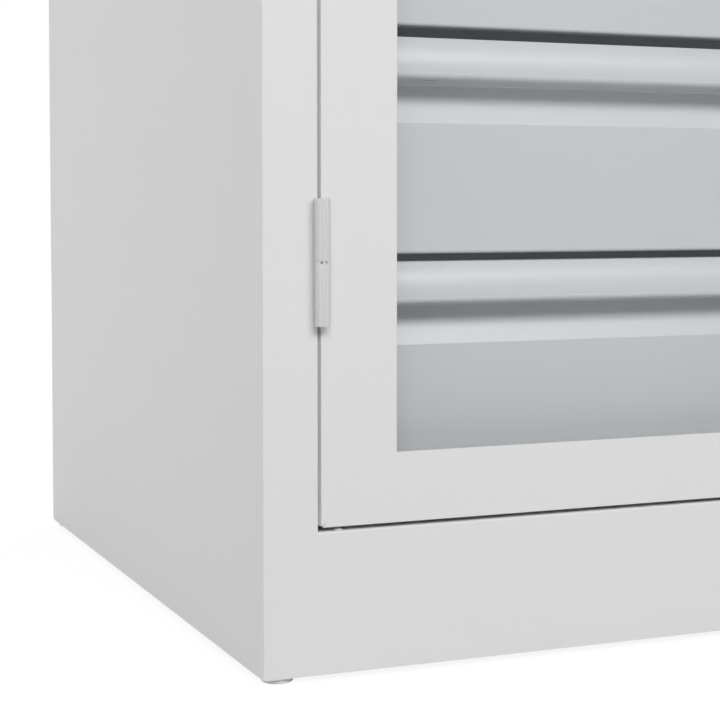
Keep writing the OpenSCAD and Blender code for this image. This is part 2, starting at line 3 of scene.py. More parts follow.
import bpy
import numpy as np
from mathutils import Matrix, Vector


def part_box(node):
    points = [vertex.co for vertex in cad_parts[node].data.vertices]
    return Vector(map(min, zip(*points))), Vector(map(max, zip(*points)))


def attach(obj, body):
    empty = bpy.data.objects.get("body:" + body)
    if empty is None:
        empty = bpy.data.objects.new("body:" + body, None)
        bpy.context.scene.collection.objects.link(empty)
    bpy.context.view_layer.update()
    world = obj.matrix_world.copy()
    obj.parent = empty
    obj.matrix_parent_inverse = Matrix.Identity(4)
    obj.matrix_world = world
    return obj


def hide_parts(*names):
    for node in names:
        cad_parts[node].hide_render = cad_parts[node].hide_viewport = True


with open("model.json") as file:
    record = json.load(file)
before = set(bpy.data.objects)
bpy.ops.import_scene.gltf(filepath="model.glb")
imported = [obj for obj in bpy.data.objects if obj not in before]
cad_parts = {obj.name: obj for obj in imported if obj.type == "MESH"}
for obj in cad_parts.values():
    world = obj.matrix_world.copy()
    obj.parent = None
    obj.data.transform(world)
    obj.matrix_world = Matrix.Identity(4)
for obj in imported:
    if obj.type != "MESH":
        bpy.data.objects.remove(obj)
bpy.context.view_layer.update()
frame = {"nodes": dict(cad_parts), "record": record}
record = frame["record"]
mm = 0.001


# camera at the lower left corner of the front, level with the drawers, looking a little down
camera = {
    "place": (-0.8526, -1.288, 0.3024), "turnRight": 22.48, "lookDown": 2.823,
    "lens": 86.63, "sensor": 36, "shiftY": -0.1,
}


def addCamera(view):
    data = bpy.data.cameras.new("camera")
    data.lens = view["lens"]
    data.sensor_width = view["sensor"]
    data.shift_y = view["shiftY"]
    made = bpy.data.objects.new("camera", data)
    made.location = view["place"]
    made.rotation_euler = np.radians([90 - view["lookDown"], 0, -view["turnRight"]])
    bpy.context.collection.objects.link(made)
    bpy.context.scene.camera = made


addCamera(camera)
print("camera placed")


class Signal:  # one value inside a material: each sum on it adds a Math node
    def __init__(self, finish, socket):
        self.finish = finish
        self.socket = socket

    def sum(self, operation, first, second):
        return self.finish.node("ShaderNodeMath", {"operation": operation}, {0: first, 1: second})

    def __add__(self, other):
        return self.sum("ADD", self, other)

    def __radd__(self, other):
        return self.sum("ADD", other, self)

    def __sub__(self, other):
        return self.sum("SUBTRACT", self, other)

    def __rsub__(self, other):
        return self.sum("SUBTRACT", other, self)

    def __mul__(self, other):
        return self.sum("MULTIPLY", self, other)

    def __rmul__(self, other):
        return self.sum("MULTIPLY", other, self)


class Finish:  # one material, or the world, and the nodes in it
    def __init__(self, name, owner=None):
        self.owner = owner or bpy.data.materials.new(name)
        self.owner.use_nodes = True
        self.tree = self.owner.node_tree
        self.tree.nodes.clear()

    def node(self, kind, settings=None, inputs=None, out=0):
        made = self.tree.nodes.new(kind)
        for key, value in (settings or {}).items():
            setattr(made, key, value)
        for key, value in (inputs or {}).items():
            if isinstance(value, Signal):
                self.tree.links.new(value.socket, made.inputs[key])
            else:
                made.inputs[key].default_value = value
        return Signal(self, made.outputs[out]) if made.outputs else None

    def noise(self, place, scale, detail):
        inputs = {"Vector": place, "Scale": scale, "Detail": detail}
        return self.node("ShaderNodeTexNoise", {}, inputs, "Fac")

    def between(self, factor, first, second):  # two colours mixed by a factor
        settings = {"data_type": "RGBA"}
        return self.node("ShaderNodeMix", settings, {0: factor, 6: first, 7: second}, 2)

    def surface(self, inputs):
        shader = self.node("ShaderNodeBsdfPrincipled", {}, inputs)
        self.node("ShaderNodeOutputMaterial", {}, {"Surface": shader})
        return self.owner


def tint(colour, factor):
    return tuple(min(channel * factor, 1) for channel in colour) + (1,)


paintGrain = {"cloudDetail": 3, "peelDetail": 2, "speckDetail": 1, "speckHeight": 0.3}


def powderCoat(look):
    # baked paint: a faint cloud in its colour, a fine orange peel and a grain in the gloss
    finish = Finish(look["name"])
    place = finish.node("ShaderNodeTexCoord", out="Object")
    cloud = finish.noise(place, look["cloudScale"], paintGrain["cloudDetail"])
    peel = finish.noise(place, look["peelScale"], paintGrain["peelDetail"])
    speck = finish.noise(place, look["speckScale"], paintGrain["speckDetail"])
    dark, light = tint(look["colour"], 1 - look["cloud"]), tint(look["colour"], 1 + look["cloud"])
    bump = finish.node("ShaderNodeBump", {}, {
        "Strength": look["bump"], "Distance": look["peelDepth"],
        "Height": peel + paintGrain["speckHeight"] * speck,
    })
    return finish.surface({
        "Base Color": finish.between(cloud, dark, light), "Normal": bump,
        "Specular IOR Level": look["specular"],
        "Roughness": look["roughness"] + look["roughVary"] * (speck - 0.5),
    })


plasticGrain = {"detail": 3, "vary": 0.08, "roughVary": 0.12, "depth": 0.08 * mm}


def moulded(look):
    # moulded plastic or rubber: a fine spark-eroded grain
    finish = Finish(look["name"])
    place = finish.node("ShaderNodeTexCoord", out="Object")
    grain = finish.noise(place, look["grainScale"], plasticGrain["detail"])
    vary = plasticGrain["vary"]
    colour = finish.between(grain, tint(look["colour"], 1 - vary), tint(look["colour"], 1 + vary))
    bump = finish.node("ShaderNodeBump", {}, {
        "Strength": look["bump"], "Distance": plasticGrain["depth"], "Height": grain,
    })
    return finish.surface({
        "Base Color": colour, "Normal": bump,
        "Roughness": look["roughness"] + plasticGrain["roughVary"] * (grain - 0.5),
    })


steelGrain = {"detail": 3, "roughVary": 0.1, "bump": 0.15, "depth": 0.03 * mm}


def plated(look):
    # plated steel: the zinc's large crystals, each a little lighter or duller, under fine drawing lines
    finish = Finish(look["name"])
    place = finish.node("ShaderNodeTexCoord", out="Object")
    cells = {"Vector": place, "Scale": look["crystalScale"]}
    crystal = finish.node("ShaderNodeTexVoronoi", {}, cells, "Color")
    shade = finish.node("ShaderNodeSeparateColor", {}, {0: crystal})
    stretched = finish.node("ShaderNodeMapping", {}, {"Vector": place, "Scale": look["stretch"]})
    drawn = finish.noise(stretched, look["lineScale"], steelGrain["detail"])
    dull, bright = tint(look["colour"], 1 - look["vary"]), tint(look["colour"], 1 + look["vary"])
    colour = finish.between(shade, dull, bright)
    if "paintedShadeFrom" in look:  # painted shade: dark colour inside a slot, past this depth
        depth = finish.node("ShaderNodeSeparateXYZ", {}, {0: place}, "Y")
        limits = {0: depth, 1: look["paintedShadeFrom"]}
        slotShadeMask = finish.node("ShaderNodeMath", {"operation": "GREATER_THAN"}, limits)
        colour = finish.between(slotShadeMask, colour, look["dark"])
    bump = finish.node("ShaderNodeBump", {}, {
        "Strength": steelGrain["bump"], "Distance": steelGrain["depth"], "Height": drawn,
    })
    rough = look["roughness"] + look["roughVary"] * (shade - 0.5)
    return finish.surface({
        "Base Color": colour, "Metallic": look["metallic"], "Normal": bump,
        "Roughness": rough + steelGrain["roughVary"] * (drawn - 0.5),
    })


paneHaze = {"detail": 3, "rough": 0.02, "alpha": 0.015}


def clearPane(look):
    # clear sheet: almost nothing but its own gloss, with a breath of haze
    finish = Finish(look["name"])
    place = finish.node("ShaderNodeTexCoord", out="Object")
    haze = finish.noise(place, look["hazeScale"], paneHaze["detail"])
    return finish.surface({
        "Base Color": tint(look["colour"], 1), "Roughness": look["roughness"] + paneHaze["rough"] * haze,
        "Alpha": look["alpha"] + paneHaze["alpha"] * haze,
    })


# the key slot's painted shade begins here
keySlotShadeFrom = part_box("lock_cylinder")[0].y + 0.7 * mm  # just past the cylinder's bevelled edge
finishes = {
    "body_sheet": powderCoat({
        "name": "bodyCoat", "colour": (0.76, 0.76, 0.755), "cloud": 0.012, "cloudScale": 5,
        "roughness": 0.5, "roughVary": 0.12, "specular": 0.35,
        "peelScale": 900, "speckScale": 2600, "peelDepth": 0.12 * mm, "bump": 0.12,
    }),
    "drawer_sheet": powderCoat({
        "name": "drawerCoat", "colour": (0.573, 0.596, 0.608), "cloud": 0.01, "cloudScale": 6,
        "roughness": 0.33, "roughVary": 0.1, "specular": 0.6,
        "peelScale": 700, "speckScale": 2400, "peelDepth": 0.1 * mm, "bump": 0.1,
    }),
    # the trays' dark grey paint, darkened further as painted shade for the gaps between the drawers
    "tray_sheet": powderCoat({
        "name": "trayCoatAndGapShade", "colour": (0.085, 0.086, 0.088), "cloud": 0.03, "cloudScale": 6,
        "roughness": 0.45, "roughVary": 0.12, "specular": 0.4,
        "peelScale": 900, "speckScale": 2600, "peelDepth": 0.12 * mm, "bump": 0.14,
    }),
    "feet": moulded({
        "name": "footPlastic", "colour": (0.93, 0.93, 0.925),
        "roughness": 0.55, "grainScale": 1500, "bump": 0.2,
    }),
    "bare_steel": plated({
        "name": "zincSteel", "colour": (0.6, 0.61, 0.63), "vary": 0.14, "metallic": 0.85,
        "roughness": 0.38, "roughVary": 0.16, "crystalScale": 190, "stretch": (40, 1, 40), "lineScale": 60,
    }),
    "washers": moulded({
        "name": "washerPlastic", "colour": (0.68, 0.68, 0.675),
        "roughness": 0.5, "grainScale": 1500, "bump": 0.1,
    }),
    "rubber": moulded({
        "name": "blackRubber", "colour": (0.025, 0.025, 0.026),
        "roughness": 0.75, "grainScale": 1200, "bump": 0.3,
    }),
    "pane": clearPane({
        "name": "clearPane", "colour": (0.8, 0.86, 0.9), "roughness": 0.03, "alpha": 0.03, "hazeScale": 9,
    }),
    "black_plastic": moulded({
        "name": "blackPlastic", "colour": (0.03, 0.03, 0.032),
        "roughness": 0.42, "grainScale": 1400, "bump": 0.25,
    }),
    "white_plastic": moulded({
        "name": "whitePlastic", "colour": (0.85, 0.85, 0.85),
        "roughness": 0.4, "grainScale": 1500, "bump": 0.1,
    }),
    "lock_steel": plated({
        "name": "nickelSteel", "colour": (0.7, 0.69, 0.66), "vary": 0.03, "metallic": 1.0,
        "roughness": 0.22, "roughVary": 0.05, "crystalScale": 400, "stretch": (1, 1, 30), "lineScale": 200,
        # painted shade in the key slot: dark colour past the cylinder's edge
        "paintedShadeFrom": keySlotShadeFrom, "dark": (0.012, 0.012, 0.012, 1),
    }),
}
slotOf = {part["node"]: part["material_slot"] for part in record["subparts"]}
bodyOf = {node: body for body, nodes in record["behaviour"]["bodies"].items() for node in nodes}
for node, shown in frame["nodes"].items():
    shown.data.materials.clear()
    shown.data.materials.append(finishes[slotOf[node]])
print("finishes:", len(finishes))


def joined(shapes):  # several closed shapes as one list of points and faces
    starts = np.cumsum([0] + [len(points) for points, faces in shapes])
    points = np.vstack([points for points, faces in shapes])
    faces = np.vstack([faces + start for start, (points, faces) in zip(starts, shapes)])
    return points, faces


def outwards(points, faces):
    # a closed shape's volume is the sum of its faces' cones from the origin: where it is below zero,
    # the faces turn round
    a, b, c, d = (points[faces[:, k]] for k in range(4))
    cones = np.cross(b, c) + np.cross(c, d)
    return points, (faces[:, ::-1] if (a * cones).sum() < 0 else faces)


def mirrored(shape):
    points, faces = shape
    return points * (-1, 1, 1), faces[:, ::-1]


def putPiece(name, shapes, *nodes, finish=None, sharp=32):
    points, faces = joined([outwards(*shape) for shape in shapes])
    corners = [list(dict.fromkeys(face)) for face in faces.tolist()]  # a face at a pole has three corners
    mesh = bpy.data.meshes.new(name)
    mesh.from_pydata(points.tolist(), [], corners)
    mesh.shade_smooth()
    mesh.set_sharp_from_angle(angle=np.radians(sharp))
    mesh.materials.append(finish or finishes[slotOf[nodes[0]]])
    piece = bpy.data.objects.new(name, mesh)
    bpy.context.collection.objects.link(piece)
    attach(piece, bodyOf[nodes[0]])
    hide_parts(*nodes)


def unit(v):
    return v / np.linalg.norm(v, axis=-1, keepdims=True)


def leftTurns(corners):  # above zero where a line turns left
    run = np.diff(corners, axis=0)
    return run[:-1, 0] * run[1:, 1] - run[:-1, 1] * run[1:, 0]


def bentLine(corners, radii, steps=9, hold=0.4 * mm):
    # straight runs joined by arcs that touch both runs, with a point close to each end of an arc, so that
    # the flat runs are shaded flat
    line = [corners[0]]
    for a, b, c, radius in zip(corners, corners[1:], corners[2:], radii):
        u, v = unit(a - b), unit(c - b)
        half = np.arccos(u @ v) / 2
        reach = radius / np.tan(half)
        middle = b + unit(u + v) * radius / np.sin(half)
        start, end = b + u * reach - middle, b + v * reach - middle
        fromTurn = np.arctan2(start[1], start[0])
        turn = (np.arctan2(end[1], end[0]) - fromTurn + np.pi) % (2 * np.pi) - np.pi
        bow = fromTurn + turn * np.linspace(0, 1, steps + 1)
        line.append(b + u * (reach + hold))
        line.extend(middle + radius * np.stack([np.cos(bow), np.sin(bow)], 1))
        line.append(b + v * (reach + hold))
    line.append(corners[-1])
    return np.array(line)


def otherFace(line, sheet):  # the line moved to its left by the sheet's thickness, mitred at each point
    run = unit(np.diff(line, axis=0))
    back, ahead = np.vstack([run[:1], run]), np.vstack([run, run[-1:]])
    middle = unit(back + ahead)
    reach = sheet / (middle * back).sum(1, keepdims=True)
    return line + np.stack([-middle[:, 1], middle[:, 0]], 1) * reach


def foldedSheet(corners, sheet, edge, hold=0.4 * mm):
    # section of a sharply folded sheet: its seen face and the face behind, each with its own rounding
    corners = np.array(corners, float)
    outside = leftTurns(corners) > 0
    seen = bentLine(corners, np.where(outside, edge, edge / 2), hold=hold)
    behind = bentLine(otherFace(corners, sheet), np.where(outside, edge / 2, edge / 2 + sheet), hold=hold)
    return np.vstack([seen, behind[::-1]])


def pierced(outline, axis, near, far):
    # a section with two more points on each face of one run, for a hole from near to far, and that
    # run's number
    half = len(outline) // 2
    faces = outline[:half], outline[half:][::-1]
    after = np.flatnonzero(faces[0][:, axis] > far).max()
    lines = []
    for line in faces:
        marks = np.tile(line[after], (2, 1))
        marks[:, axis] = far, near
        lines.append(np.insert(line, after + 1, marks, 0))
    return np.vstack([lines[0], lines[1][::-1]]), after + 1


def sheetShape(outline, axis, stations, cuts=()):
    # a folded sheet: the closed outline of its section, carried along one axis through the stations;
    # each cut names the station and the run of the section where a hole goes through the sheet
    count, turns = len(outline), len(stations)
    points = np.empty((turns, count, 3))
    points[:, :, [k for k in range(3) if k != axis]] = outline
    points[:, :, axis] = [np.broadcast_to(station, count) for station in stations]
    index = np.arange(turns * count).reshape(turns, count)
    aside = np.roll(index, -1, 1)
    walls = np.stack([index[:-1], aside[:-1], aside[1:], index[1:]], -1)
    shown = np.ones(walls.shape[:2], bool)
    holes = []
    for station, run in cuts:
        pair = count - 2 - run
        shown[station, [run, pair]] = False
        near, far = index[station], index[station + 1]
        rim = np.array([near[run], near[run + 1], far[run + 1], far[run]])
        inner = np.array([near[pair + 1], near[pair], far[pair], far[pair + 1]])
        holes.append(np.stack([np.roll(rim, -1), rim, inner, np.roll(inner, -1)], 1))
    low = np.arange(count // 2 - 1)
    cap = np.stack([low, count - 1 - low, count - 2 - low, low + 1], 1)
    faces = np.vstack([walls[shown], *holes, cap, index[-1][cap[:, ::-1]]])
    return points.reshape(-1, 3), faces


def ringShape(rings, centre, axis):
    # rings of radius against angle, each at its own height along the axis, the two ends closed by
    # a flat fan
    heights = np.array([np.broadcast_to(height, angles.shape) for height, radius in rings])
    radius = np.array([np.broadcast_to(radius, angles.shape) for height, radius in rings])
    turns, count = radius.shape
    points = np.empty((turns, count, 3))
    first, second = [k for k in range(3) if k != axis]
    points[..., first] = centre[first] + radius * np.cos(angles)
    points[..., second] = centre[second] + radius * np.sin(angles)
    points[..., axis] = centre[axis] + heights
    ends = np.tile(np.array(centre, float), (2, 1))
    ends[:, axis] += heights[[0, -1], 0]
    index = np.arange(turns * count).reshape(turns, count)
    aside = np.roll(index, -1, 1)
    walls = np.stack([index[:-1], aside[:-1], aside[1:], index[1:]], -1).reshape(-1, 4)
    pole = np.full(count, turns * count)
    bottom = np.stack([pole, aside[0], index[0], pole], 1)
    top = np.stack([pole + 1, index[-1], aside[-1], pole + 1], 1)
    return np.vstack([points.reshape(-1, 3), ends]), np.vstack([walls, bottom, top])


roundSteps = 144
angles = np.linspace(0, 2 * np.pi, roundSteps, endpoint=False)
tiny = 1e-9  # keeps a division off zero


def roundedEnd(height, inwards, outline, edge, steps=6):
    # rings from a flat end up to the full outline, along a quarter circle
    turn = np.linspace(0, np.pi / 2, steps)
    return [(height + inwards * edge * (1 - np.cos(t)), outline(edge * (1 - np.sin(t)))) for t in turn]


def roundedBody(low, high, outline, edge, steps):  # both ends rounded
    return roundedEnd(low, 1, outline, edge, steps) + roundedEnd(high, -1, outline, edge, steps)[::-1]


def stadium(width, length, inset=0.0):
    # distance from the middle to the edge of two half circles joined by straight sides
    half, run = width / 2 - inset, (length - width) / 2
    across, along = np.abs(np.cos(angles)), np.abs(np.sin(angles))
    side = half / np.maximum(across, tiny)
    end = run * along + np.sqrt(np.maximum(half ** 2 - (run * across) ** 2, 0))
    return np.where(side * along <= run, side, end)


def slotEdge(width, length):  # distance from the middle to the edge of a rectangle
    across, along = np.abs(np.cos(angles)), np.abs(np.sin(angles))
    return np.minimum(width / 2 / np.maximum(across, tiny), length / 2 / np.maximum(along, tiny))


sideLow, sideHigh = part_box("side_panel_left")
plinthLow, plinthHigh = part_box("plinth_panel")
headerLow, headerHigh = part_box("header_rail")
doorLow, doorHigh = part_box("door_panel_left")
boltLow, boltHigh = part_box("bolt_lower")
front = sideLow.y
passage = {"rod": 4 * mm, "half": 4.6 * mm}  # holes for the rods and shoot bolts
rodX, rodY = (boltLow.x + boltHigh.x) / 2, boltLow.y + passage["rod"]

sidePanel = {
    "sheet": 1.5 * mm, "edge": 0.8 * mm, "stile": 36.5 * mm, "jamb": 26 * mm, "stop": 20 * mm,
    "rearFlange": 20 * mm, "cornerRadius": 4 * mm, "foldRelief": 2 * mm, "hold": 1.2 * mm,
}


def cornerRise(past, radius):  # how far a rounded corner lifts the lower edge, past the start of its circle
    return radius - np.sqrt(np.maximum(radius ** 2 - np.maximum(past, 0) ** 2, 0))


def sidePanels(size):
    # one folded sheet with rounded lower corners: rear flange, side, stile, jamb and door stop; the jamb
    # stops at plinth and header
    left, rear = sideLow.x, sideHigh.y
    stile, stop = left + size["stile"], front + size["jamb"]
    side = [(left + size["rearFlange"], rear), (left, rear), (left, front)]
    byPlinth, byHeader = side + [(stile, front)], side + [(headerLow.x, front)]
    byDoor = side + [(stile, front), (stile, stop), (stile + size["stop"], stop)]
    headerBottom = headerLow.z + size["stop"]
    shapes = []
    for corners, low, high in (
        (byPlinth, sideLow.z, plinthHigh.z), (byDoor, plinthHigh.z, headerBottom),
        (byHeader, headerBottom, sideHigh.z),
    ):
        outline = foldedSheet(corners, size["sheet"], size["edge"], size["hold"])
        foot = np.full(len(outline), low)
        if low == sideLow.z:
            fromFold = np.maximum(outline[:, 0] - left, outline[:, 1] - front)
            foot += cornerRise(outline[:, 1] - rear + size["cornerRadius"], size["cornerRadius"])
            foot += cornerRise(size["foldRelief"] - fromFold, size["foldRelief"])
        shapes.append(sheetShape(outline, 2, [foot, np.full(len(outline), high)]))
    putPiece("sidePanelLeft", shapes, "side_panel_left")
    putPiece("sidePanelRight", [mirrored(shape) for shape in shapes], "side_panel_right")


sidePanels(sidePanel)

plinth = {"sheet": 1.5 * mm, "edge": 1.35 * mm, "lip": 40 * mm, "stile": 36.5 * mm}


def plinthPanel(size):
    # a sheet between the stiles, folded back at its top and cut off plain below, with two holes for
    # the rods
    corners = [(front + size["lip"], plinthHigh.z), (front, plinthHigh.z), (front, plinthLow.z)]
    outline = foldedSheet(corners, size["sheet"], size["edge"])
    half, end = passage["half"], sideLow.x + size["stile"]
    outline, run = pierced(outline, 0, rodY - half, rodY + half)
    stations = [end, rodX - half, rodX + half, -rodX - half, -rodX + half, -end]
    putPiece("plinthPanel", [sheetShape(outline, 0, stations, [(1, run), (3, run)])], "plinth_panel")


plinthPanel(plinth)
print("body sheets folded")

doorPan = {
    "sheet": 1.25 * mm, "edge": 0.6 * mm, "lip": 15 * mm, "stile": 51.8 * mm, "rail": 45.4 * mm,
    "relief": 1.3 * mm, "plateInset": 3.5 * mm, "windowEdge": 0.25 * mm, "lift": 0.45 * mm,
    "bulge": 1.1 * mm, "bulgeDepth": 4 * mm,
}


def doorPanels(size):
    # front plate with its window as rings of rectangles, and four mitred edges folded back behind it, the
    # upright ones bulged a little into their gap, the level ones with a hole for a rod
    inset, edge = size["plateInset"], size["windowEdge"]
    depth, bottom = doorHigh.y - doorLow.y, doorLow.z + size["lift"]
    rings = [  # inset beside, inset above, depth
        (inset, inset, 0), (size["stile"] - edge, size["rail"] - edge, 0),
        (size["stile"], size["rail"], edge), (size["stile"], size["rail"], size["sheet"]),
        (inset, inset, size["sheet"]),
    ]
    beside, above, back = np.array(rings).T
    lowX, highX = doorLow.x + beside, doorHigh.x - beside
    lowZ, highZ = bottom + above, doorHigh.z - above
    corners = ((lowX, lowZ), (highX, lowZ), (highX, highZ), (lowX, highZ))
    points = np.stack([np.stack([x, front + back, z], 1) for x, z in corners], 1)
    index = np.arange(len(rings) * 4).reshape(-1, 4)
    aside, onward = np.roll(index, -1, 1), np.roll(index, -1, 0)
    plate = np.stack([index, aside, np.roll(aside, -1, 0), onward], -1).reshape(-1, 4)
    shapes = [(points.reshape(-1, 3), plate)]

    straight = [(size["lip"], depth), (0, depth), (0, 0), (inset, 0)]
    bulge = [(-size["bulge"], depth), (-size["bulge"], size["bulgeDepth"])]
    upright = foldedSheet(straight[:1] + bulge + straight[2:], size["sheet"], size["edge"])
    half, rodDepth = passage["half"], rodY - front
    level = foldedSheet(straight, size["sheet"], size["edge"])
    level, run = pierced(level, 1, rodDepth - half, rodDepth + half)
    mitre = np.maximum(upright[:, 0], size["relief"])
    for edgeX, inwards in ((doorLow.x, 1), (doorHigh.x, -1)):
        points, faces = sheetShape(upright, 2, [bottom + mitre, doorHigh.z - mitre])
        shapes.append((points * (inwards, 1, 1) + (edgeX, front, 0), faces))
    mitre = np.maximum(level[:, 0], size["relief"])
    for edgeZ, inwards in ((bottom, 1), (doorHigh.z, -1)):
        stations = [doorLow.x + mitre, rodX - half, rodX + half, doorHigh.x - mitre]
        points, faces = sheetShape(level, 2, stations, [(1, run)])
        shapes.append((points[:, [2, 1, 0]] * (1, 1, inwards) + (0, front, edgeZ), faces))
    putPiece("doorPanelLeft", shapes, "door_panel_left")
    putPiece("doorPanelRight", [mirrored(shape) for shape in shapes], "door_panel_right")


doorPanels(doorPan)
print("doors folded")

drawerFront = {
    "sheet": 1.2 * mm, "bend": 1 * mm, "hold": 0.1 * mm, "barHeight": 24 * mm, "barLean": 7.5 * mm,
    "barSteps": 20, "barBend": 5, "bead": 0.35 * mm, "lip": 4 * mm, "lipRoll": 2.4 * mm,
    "gripDepth": 26.7 * mm, "gripDrop": 1.8 * mm, "faceBack": 15.5 * mm, "foldDrop": 56.6 * mm,
    "topFlange": 12 * mm, "bottomFlange": 15 * mm,
    "slotFrom": 4.6 * mm, "slotWidth": 5 * mm, "slotLength": 11 * mm, "slotInset": 70 * mm,
}


def drawerFronts(size):
    # one folded sheet: top flange, grip bar as a flat arc, rolled lip, underside with a slot, slope and
    # face; the top bend leads from the flange towards the arc's point barBend
    radius = (size["barHeight"] ** 2 + size["barLean"] ** 2) / (2 * size["barLean"])
    turn = np.linspace(np.arcsin(size["barHeight"] / radius), 0, size["barSteps"])
    for node in [name for name in frame["nodes"] if name.endswith("_front")]:
        low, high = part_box(node)
        barFoot = high.z - size["barHeight"]
        lipEdge = barFoot - size["lip"]
        recess = low.y + size["gripDepth"]
        face, fold = low.y + size["faceBack"], high.z - size["foldDrop"]
        barFront = low.y + size["bead"]
        bar = np.stack([barFront + radius * (1 - np.cos(turn)), barFoot + radius * np.sin(turn)], 1)
        flange = np.array([(bar[0, 0] + size["topFlange"], high.z), bar[0], bar[size["barBend"]]])
        upper = bentLine(flange, [size["bend"] + size["sheet"]])[:-1]
        corners = np.array([
            (low.y, barFoot - size["bead"]), (low.y, lipEdge), (recess, lipEdge - size["gripDrop"]),
            (face, fold), (face, low.z), (face + size["bottomFlange"], low.z),
        ])
        radii = np.where(leftTurns(corners) > 0, size["bend"] + size["sheet"], size["bend"])
        radii[0] = size["lipRoll"] + size["sheet"]
        lower = bentLine(corners, radii, hold=size["hold"])
        line = np.vstack([upper, bar[bar[:, 1] < upper[-1, 1] - size["bend"]], lower])
        under = unit(corners[2] - corners[1])
        slotEnds = corners[1] + under * (size["slotFrom"] + np.array([[0], [size["slotWidth"]]]))
        before = (line[:, 0] < slotEnds[0, 0]) & (line[:, 1] < lipEdge + size["lip"]) & (line[:, 1] > fold)
        after = np.flatnonzero(before).max()
        line = np.insert(line, after + 1, slotEnds, 0)
        slotMiddle = low.x + size["slotInset"]
        stations = [low.x, slotMiddle - size["slotLength"] / 2, slotMiddle + size["slotLength"] / 2, high.x]
        outline = np.vstack([line, otherFace(line, size["sheet"])[::-1]])
        shape = sheetShape(outline, 0, stations, [(1, after + 1)])
        putPiece("drawerFront" + node.split("_")[1], [shape], node)


drawerFronts(drawerFront)
print("drawer fronts folded")

hingeCoat = powderCoat({
    "name": "hingeCoat", "colour": (0.66, 0.66, 0.655), "cloud": 0.012, "cloudScale": 20,
    "roughness": 0.55, "roughVary": 0.1, "specular": 0.3,
    "peelScale": 900, "speckScale": 2600, "peelDepth": 0.1 * mm, "bump": 0.1,
})
hinge = {
    "radius": 5 * mm, "length": 80 * mm, "pin": 60 * mm, "split": 1.5 * mm, "clear": 0.05 * mm,
    "lean": np.radians(21), "edge": 0.5 * mm, "splitEdge": 0.05 * mm, "washer": 4.98 * mm,
    "grooves": (-117, -77), "grooveDepth": 0.45 * mm, "grooveWidth": 7.5, "grooveSteep": 2,
    "notchDepth": 2.5 * mm, "notchWidth": 8.5, "notchSteep": 4,
}


def hinges(size):
    # barrel halves: a circle drawn in along two flutes, with a leaning foot behind that is welded to
    # its sheet
    pinLow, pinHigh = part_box("hinge_pins")
    reach = front - (pinLow.y + pinHigh.y) / 2

    def fluted(radius, kind):
        away = [(np.degrees(angles) - groove + 180) % 360 - 180 for groove in size["grooves"]]
        width, steep = size[kind + "Width"], size[kind + "Steep"]
        return radius - size[kind + "Depth"] * sum(np.exp(-(a / width) ** steep) for a in away)

    def barrel(side):
        across, back = np.cos(angles) * side, np.sin(angles)
        tilted = across * np.cos(size["lean"]) + back * np.sin(size["lean"])
        wall = size["radius"] / np.maximum(tilted, tiny)
        welded = np.minimum(wall, reach / np.maximum(back, tiny))
        outline = fluted(size["radius"], "groove")
        return np.where((across > 0) & (back > across * np.tan(size["lean"])), welded, outline)

    def lowerHalf(inset):
        return barrel(-1) - inset

    def upperHalf(inset):
        return barrel(1) - inset

    frameHalves, doorHalves, washers = [], [], []
    halfLength, halfSplit = size["length"] / 2, size["split"] / 2
    disc = fluted(size["washer"], "notch")
    for middle in (pinLow.z + size["pin"] / 2, pinHigh.z - size["pin"] / 2):
        place = (pinLow.x + (pinHigh.y - pinLow.y) / 2, front - reach, middle)
        lower = roundedEnd(-halfLength, 1, lowerHalf, size["edge"])
        lower += roundedEnd(-halfSplit, -1, lowerHalf, size["splitEdge"])[::-1]
        upper = roundedEnd(halfSplit + size["clear"], 1, upperHalf, size["splitEdge"])
        upper += roundedEnd(halfLength, -1, upperHalf, size["edge"])[::-1]
        frameHalves.append(ringShape(lower, place, 2))
        doorHalves.append(ringShape(upper, place, 2))
        washers.append(ringShape([(-halfSplit, disc), (halfSplit, disc)], place, 2))
    bothFrames = frameHalves + [mirrored(half) for half in frameHalves]
    rightHalves = [mirrored(half) for half in doorHalves]
    putPiece("hingeFrameBarrels", bothFrames, "hinge_frame_barrels", finish=hingeCoat)
    putPiece("hingeBarrelsLeft", doorHalves, "hinge_barrels_left", finish=hingeCoat)
    putPiece("hingeBarrelsRight", rightHalves, "hinge_barrels_right", finish=hingeCoat)
    putPiece("hingeWashers", washers + [mirrored(shape) for shape in washers], "hinge_washers")


hinges(hinge)
print("hinges made")

foot = {"radius": 10.25 * mm, "height": 4 * mm, "edge": 1 * mm, "inset": 13.6 * mm}


def feet(size):
    # low round feet with a rolled edge
    def outline(inset):
        return size["radius"] - inset

    shapes = []
    for x in (sideLow.x + size["inset"], -sideLow.x - size["inset"]):
        for y in (front + size["inset"], sideHigh.y - size["inset"]):
            rings = roundedEnd(0, 1, outline, size["edge"]) + [(size["height"], size["radius"])]
            shapes.append(ringShape(rings, (x, y, 0), 2))
    putPiece("feet", shapes, "feet")


feet(foot)

lock = {
    "width": 25 * mm, "length": 112 * mm, "thick": 15 * mm, "edge": 4.2 * mm, "bow": 5 * mm,
    "reach": 42 * mm, "steps": 9, "backRings": (0.75, 0.5, 0.25),
    "neck": 11 * mm, "neckFoot": 14 * mm, "neckIn": 2.2 * mm, "gap": 0.3 * mm,
    "cylinder": 8 * mm, "cylinderClear": 0.05 * mm, "cylinderDepth": 12 * mm, "boreDepth": 12.5 * mm,
    "cylinderEdge": 0.6 * mm, "keyWidth": 2 * mm, "keyLength": 9 * mm, "keyDepth": 6 * mm,
    "rosetteWidth": 34 * mm, "rosetteLength": 78 * mm, "rosetteThick": 4 * mm, "rosetteEdge": 2 * mm,
}


